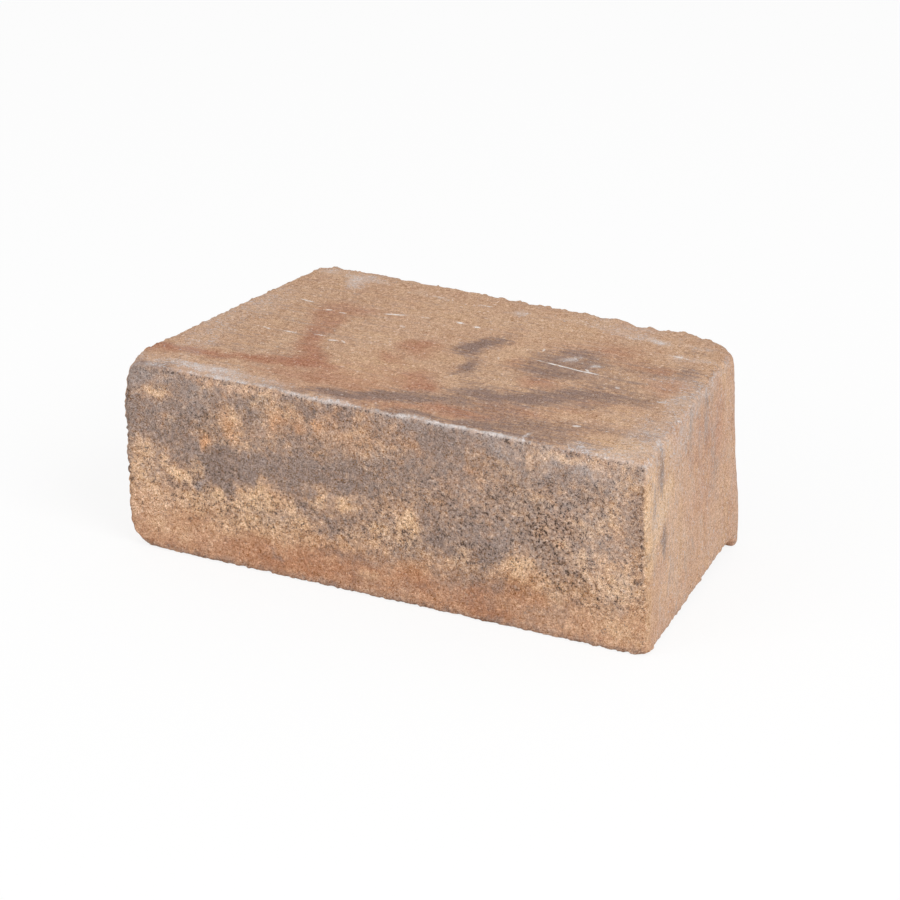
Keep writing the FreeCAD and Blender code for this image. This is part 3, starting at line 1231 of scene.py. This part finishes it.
    def survey(self, mesh: bpy.types.Mesh) -> Surface:
        """Return what each point of the even mesh belongs to.

        Args:
            mesh: The even mesh, in level metres.

        Returns:
            The surface before wear.
        """
        normals = read_triples(mesh.vertices, "normal")
        looks = self.side_looks(normals)
        raised = {side: np.clip(look, 0, 1) ** self.side_sharpness for side, look in looks.items()}
        whole = np.sum(list(raised.values()), axis=0) + 1e-6
        shares = {side: share / whole for side, share in raised.items()}
        arris = self.arris_share(mesh, np.max(list(looks.values()), axis=0))
        return Surface(MM_PER_METRE * read_triples(mesh.vertices, "co"), normals, shares, arris)

    def side_looks(self, normals: Array) -> dict[Side, Array]:
        """Return how squarely each point looks out of each side of the block.

        Args:
            normals: Level normals.

        Returns:
            The cosine between each normal and the side's own, by side.
        """
        sideways, backwards = normals[:, 0] * self.flank[0], normals[:, 1] * self.flank[1]
        return {
            Side.TOP: normals[:, 2],
            Side.UNDER: -normals[:, 2],
            Side.FRONT: -normals[:, 1],
            Side.BACK: normals[:, 1],
            Side.RIGHT: backwards + sideways,
            Side.LEFT: backwards - sideways,
        }

    def arris_share(self, mesh: bpy.types.Mesh, straight: Array) -> Array:
        """Return how near each point is to an edge of the block.

        Args:
            mesh: The even mesh.
            straight: How squarely each point looks the same way as its side.

        Returns:
            A share from 0 to 1, spread a few millimetres onto the sides.
        """
        near = ramp(straight, self.edge_look, -self.edge_fade)
        pairs = np.empty(2 * len(mesh.edges), dtype=np.int64)
        mesh.edges.foreach_get("vertices", pairs)
        first, second = pairs.reshape(-1, 2).T
        count = np.maximum(np.bincount(pairs, minlength=len(near)), 1)
        for _ in range(self.edge_rounds):
            beside = np.bincount(first, near[second], len(near)) + np.bincount(second, near[first], len(near))
            near = np.maximum(near, self.edge_spread * beside / count)
        return near

    def roughen(self, surface: Surface) -> Array:
        """Wear the corners, break the edges and pit the faces.

        Args:
            surface: The surface before wear.

        Returns:
            The worn places in level millimetres.
        """
        lift = self.face_lift(surface) + self.edge_lift(surface)
        lift += np.sum([dent.lift(surface.points) for dent in self.dents], axis=0)
        worn = surface.points + lift[:, None] * surface.normals
        wander = 0.9 * self.sand.layered(surface.points, 6.0, shift=1300)
        for corner in self.worn:
            worn = corner.rub(worn, wander)
        return worn

    def face_lift(self, surface: Surface) -> Array:
        """Swell, pit and streak the faces.

        Args:
            surface: The surface before wear.

        Returns:
            How far each point moves outwards, in millimetres.
        """
        sand, points, shares = self.sand, surface.points, surface.shares
        coarse = shares[Side.FRONT] + 0.75 * shares[Side.BACK] + 0.6 * shares[Side.UNDER]
        smooth = shares[Side.TOP] + surface.flanks
        swell = 0.45 * sand.smooth(points, 55) * (1 - surface.arris)
        crumbs = coarse * (0.30 * sand.layered(points, 7.0, shift=200) + 0.24 * sand.smooth(points, 2.3))
        pits = self.pits(points) * (1.4 * coarse + 0.18 * smooth + 1.4 * self.porous_share(surface))
        ripple = 0.07 * smooth * sand.layered(points, 6.0, shift=300)
        bed_streaks = 0.10 * shares[Side.TOP] * sand.smooth(points, (45, 2.8, 20))
        flank_streaks = 0.10 * surface.flanks * sand.smooth(points, (2.8, 2.8, 45))
        return swell + crumbs - pits + ripple + bed_streaks + flank_streaks

    def edge_lift(self, surface: Surface) -> Array:
        """Chip and crumble the edges, most of all at the back and on the right.

        Args:
            surface: The surface before wear.

        Returns:
            How far each point moves outwards, in millimetres.
        """
        sand, points = self.sand, surface.points
        back_edge = ramp(surface.y, 140, 12)
        upright = ramp(np.abs(surface.normals[:, 2]), 0.5, -0.5)
        right_edge = ramp(surface.x, 136, 6) * ramp(surface.y, 9, -9)
        right_rim = ramp(surface.x, 105, 8) * ramp(surface.z, 94, 4)
        chips = np.clip(sand.layered(points, 8.0, shift=700) - 0.15, 0, 1)
        chips += 0.4 * np.clip(sand.smooth(points, 3.5, shift=40), 0, 1)
        chips *= 0.7 + 0.8 * back_edge + 1.1 * right_edge + 0.8 * right_rim
        crumbs = 0.50 * sand.smooth(points, 2.2, shift=77) + 0.45 * sand.smooth(points, 1.3, shift=177) + 0.08
        broken = surface.arris * (1 - 0.50 * back_edge * upright)
        return broken * (crumbs - chips) + 0.7 * right_edge * sand.smooth(points, 4.2, shift=277)

    def pits(self, points: Array) -> Array:
        """Return how deep the open pores of the coarse faces are, from 0 to about 0.6."""
        large = np.clip(self.sand.smooth(points, 3.6, shift=500) - 0.55, 0, 1)
        return large + 0.8 * np.clip(self.sand.smooth(points, 2.6, shift=900) - 0.5, 0, 1)

    def porous_share(self, surface: Surface) -> Array:
        """Return how open the skin is at each point.

        Args:
            surface: The surface before wear.

        Returns:
            The share of open skin from 0 to 1, which is on the front only.
        """
        share = np.zeros(len(surface.points))
        for smear in FRONT_POROUS:
            share = smear.lay(share, smear.cover(surface.x, surface.z))
        return share * surface.shares[Side.FRONT]

    def paint(self, mesh: bpy.types.Mesh, surface: Surface, level: LevelFrame) -> None:
        """Paint the pigment layers and the side layer onto the mesh.

        Args:
            mesh: The mesh that carries the layers.
            surface: The surface before wear.
            level: The level axes of the block.
        """
        points, shares = surface.points, surface.shares
        layer = np.zeros((len(points), len(Pigment)))
        for side, share in shares.items():
            layer[:, :4] += share[:, None] * np.array(self.base[side])
        drift = np.stack([self.sand.layered(points, 14.0, shift=60 * n) for n in (1, 2, 3)], axis=1)
        drift *= self.stain_wander
        moved = points + drift
        self.tint_front_by_height(layer, surface, drift[:, 2])
        for (side, pigment), dabs in SMEARS.items():
            first, second = side.axes()
            for dab in dabs:
                cover = shares[side] * dab.cover(moved[:, first], moved[:, second])
                layer[:, pigment.value] = dab.lay(layer[:, pigment.value], cover)
        self.chalk_edges(layer, surface, level.height)
        # Painted shade along the foot and the left-hand edge of the front.
        self.paint_edge_shade(layer, surface)

        foot = ramp(surface.z, 26, -10)
        coarse = shares[Side.FRONT] * (1 - 0.45 * foot) + 0.6 * shares[Side.BACK] + 0.5 * shares[Side.UNDER]
        crumbly = np.maximum(self.porous_share(surface), 0.60 * surface.arris)
        sides = np.stack([shares[Side.TOP], coarse, surface.flanks, crumbly], axis=1)
        for name, values in (("pigment", np.clip(layer[:, :4], -0.5, 1.5)), ("side", sides)):
            store = mesh.color_attributes.new(name, "FLOAT_COLOR", "POINT")
            store.data.foreach_set("color", values.astype(np.float32).ravel())
        store = mesh.attributes.new("orange", "FLOAT", "POINT")
        store.data.foreach_set("value", layer[:, Pigment.ORANGE.value].astype(np.float32))

    def tint_front_by_height(self, layer: Array, surface: Surface, drift: Array) -> None:
        """Let the charcoal of the front give way to terracotta towards its foot.

        Args:
            layer: The pigment layer, changed in place.
            surface: The surface before wear.
            drift: Unevenness of the change of colour, in millimetres.
        """
        front = surface.shares[Side.FRONT]
        height = surface.z + 1.6 * drift
        foot = ramp(height, 42, -22)
        layer[:, Pigment.CHARCOAL.value] -= 0.46 * front * foot
        layer[:, Pigment.CHALK.value] -= 0.17 * front * foot
        layer[:, Pigment.TERRACOTTA.value] += 0.23 * front * ramp(height, 32, -18)
        layer[:, Pigment.OCHRE.value] += 0.14 * front * ramp(np.abs(height - 31), 12, -12)

    def chalk_edges(self, layer: Array, surface: Surface, height: float) -> None:
        """Lay chalky bloom along the edges where the block has been rubbed.

        Args:
            layer: The pigment layer, changed in place.
            surface: The surface before wear.
            height: Height of the top bed in level millimetres.
        """
        x, y, radius = surface.x, surface.y, self.arris_radius
        rise = surface.z - (height - radius)
        turn = np.degrees(np.arctan2(rise, np.maximum(radius - y, 0.01)))
        turn += 9 * self.sand.smooth(surface.points, 10.0, shift=1700)
        middle = np.interp(x, (-140, -60, -10, 30, 140), (62, 62, 46, 52, 54))
        kept = np.interp(x, (-140, -84, -70, 60, 95, 140), (0.40, 0.55, 0.95, 0.88, 0.66, 0.42))
        front_rim = np.clip(1.25 - np.abs(turn - middle) / 22, 0, 1) * kept * (y < radius)
        right_rim = ramp(np.abs(rise - 3.0), 1.2, -1.2) * ramp(x, 100, 10) * (y > 4)
        patchy = np.clip(0.78 + 0.50 * self.sand.layered(surface.points, 14.0, shift=1500), 0, 1)
        corner = ramp(x, 139, 4) * ramp(y, 12, -12) * ramp(surface.z, 94, -6)
        layer[:, Pigment.CHALK.value] += (0.66 * front_rim + 0.12 * right_rim) * patchy
        layer[:, Pigment.CHALK.value] += 0.05 * surface.arris - 0.30 * corner
        layer[:, Pigment.OCHRE.value] += 0.12 * corner * surface.shares[Side.RIGHT]

    def paint_edge_shade(self, layer: Array, surface: Surface) -> None:
        """Paint shade along the shadowed foot of the front and down its left-hand edge, which turns away from
        the light.

        Args:
            layer: The pigment layer, changed in place.
            surface: The surface before wear.
        """
        foot_shade = ramp(surface.y, 4, -4) * ramp(surface.z, 6, -4)
        left_edge_shade = ramp(surface.x, -143, -3) * ramp(surface.y, 6, -6)
        # Charcoal carries the painted shade of these edges.
        layer[:, Pigment.CHARCOAL.value] += 0.34 * foot_shade + 0.25 * left_edge_shade

    def dress(self, piece: bpy.types.Object, level: LevelFrame, finish: BlendedConcrete) -> None:
        """Give the piece its finish and its place in the frame.

        Args:
            piece: The finished mesh object.
            level: The level axes of the block.
            finish: What the block is cast in.
        """
        piece.data.materials.append(Mixer(finish).make(SCRATCHES, level))
        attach(piece, "root")
        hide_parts(self.node)


@dataclass(frozen=True)
class Lamp:
    """One square soft box: where it hangs, what it is turned to, how wide it is and how bright."""

    name: str
    place: Place
    towards: Place
    width: float
    power: float


@dataclass
class Studio:
    """A white floor, soft light and the camera at the photograph's angle."""

    azimuth: float = 29.29
    elevation: float = 21.58
    distance: float = 2.261
    aim: Place = (-0.00227, -0.00216, 0.05304)
    lens: float = 180.0
    sensor_width: float = 36.0
    sky: float = 0.64
    backdrop: float = 1.0
    floor_width: float = 9.0
    floor_white: float = 0.84
    lamps: tuple[Lamp, ...] = (
        Lamp("key_lamp", (2.2, -1.1, 2.1), (0.0, 0.0, 0.05), 1.6, 42.0),
        Lamp("fill_lamp", (-1.2, -2.4, 1.1), (0.0, 0.0, 0.05), 2.0, 20.0),
    )

    def build(self) -> bpy.types.Object:
        """Build the floor, the lights and the camera.

        Returns:
            The floor.
        """
        self.light()
        self.place_camera()
        return self.lay_floor()

    def light(self) -> None:
        """Hang the lamps and set the even light of the room."""
        world = bpy.data.worlds.new("studio")
        bpy.context.scene.world = world
        bench = NodeBench(world)
        room = bench.glow("ShaderNodeBackground", self.sky)
        backdrop = bench.glow("ShaderNodeBackground", self.backdrop)
        blend = bench.blend(bench.in_view(), room, backdrop)
        bench.feed(bench.add("ShaderNodeOutputWorld").inputs["Surface"], blend)
        for lamp in self.lamps:
            data = bpy.data.lights.new(lamp.name, "AREA")
            data.size = lamp.width
            data.energy = lamp.power
            self.hang(data, Vector(lamp.place), Vector(lamp.towards) - Vector(lamp.place))

    def hang(self, data: bpy.types.ID, place: Vector, way: Vector) -> bpy.types.Object:
        """Put a lamp or a camera in its place.

        Args:
            data: The lamp or the camera.
            place: Where it hangs.
            way: Which way it looks.

        Returns:
            The object that holds it.
        """
        holder = bpy.data.objects.new(data.name, data)
        holder.location = place
        holder.rotation_euler = way.to_track_quat("-Z", "Y").to_euler()
        bpy.context.scene.collection.objects.link(holder)
        return holder

    def place_camera(self) -> None:
        """Stand the camera where the photograph was taken from."""
        turn, rise = math.radians(self.azimuth), math.radians(self.elevation)
        away = Vector((math.sin(turn) * math.cos(rise), -math.cos(turn) * math.cos(rise), math.sin(rise)))
        data = bpy.data.cameras.new("photo_camera")
        data.sensor_fit = "HORIZONTAL"
        data.sensor_width = self.sensor_width
        data.lens = self.lens
        bpy.context.scene.camera = self.hang(data, Vector(self.aim) + self.distance * away, -away)

    def lay_floor(self) -> bpy.types.Object:
        """Lay the white floor.

        Returns:
            The floor.
        """
        half = self.floor_width / 2
        corners = [(-half, -half, 0), (half, -half, 0), (half, half, 0), (-half, half, 0)]
        mesh = bpy.data.meshes.new("studio_floor")
        mesh.from_pydata(corners, [], [(0, 1, 2, 3)])
        floor = bpy.data.objects.new("studio_floor", mesh)
        bpy.context.scene.collection.objects.link(floor)
        material = bpy.data.materials.new("studio_paper")
        bench = NodeBench(material)
        paper = bench.add("ShaderNodeBsdfDiffuse")
        paper.inputs["Color"].default_value = WHITE
        white = bench.glow("ShaderNodeEmission", self.backdrop)
        blend = bench.blend(bench.times(bench.in_view(), self.floor_white), paper.outputs[0], white)
        bench.feed(bench.add("ShaderNodeOutputMaterial").inputs["Surface"], blend)
        mesh.materials.append(material)
        return floor


def main() -> None:
    """Build the block and its studio."""
    logging.basicConfig(level=logging.INFO, format="%(name)s: %(message)s")
    bpy.context.scene.view_settings.view_transform = "Standard"
    block = WallBlock()
    cad = frame["nodes"][block.node]
    level = LevelFrame.from_record(frame["record"], cad)
    LOG.info("the block leans %.2f degrees", math.degrees(level.lean))
    piece = block.build(level, cad)
    block.dress(piece, level, BlendedConcrete())
    LOG.info("%s: %d points, %d faces", piece.name, len(piece.data.vertices), len(piece.data.polygons))
    floor = Studio().build()
    LOG.info("%s laid", floor.name)


if __name__ == "__main__":
    main()
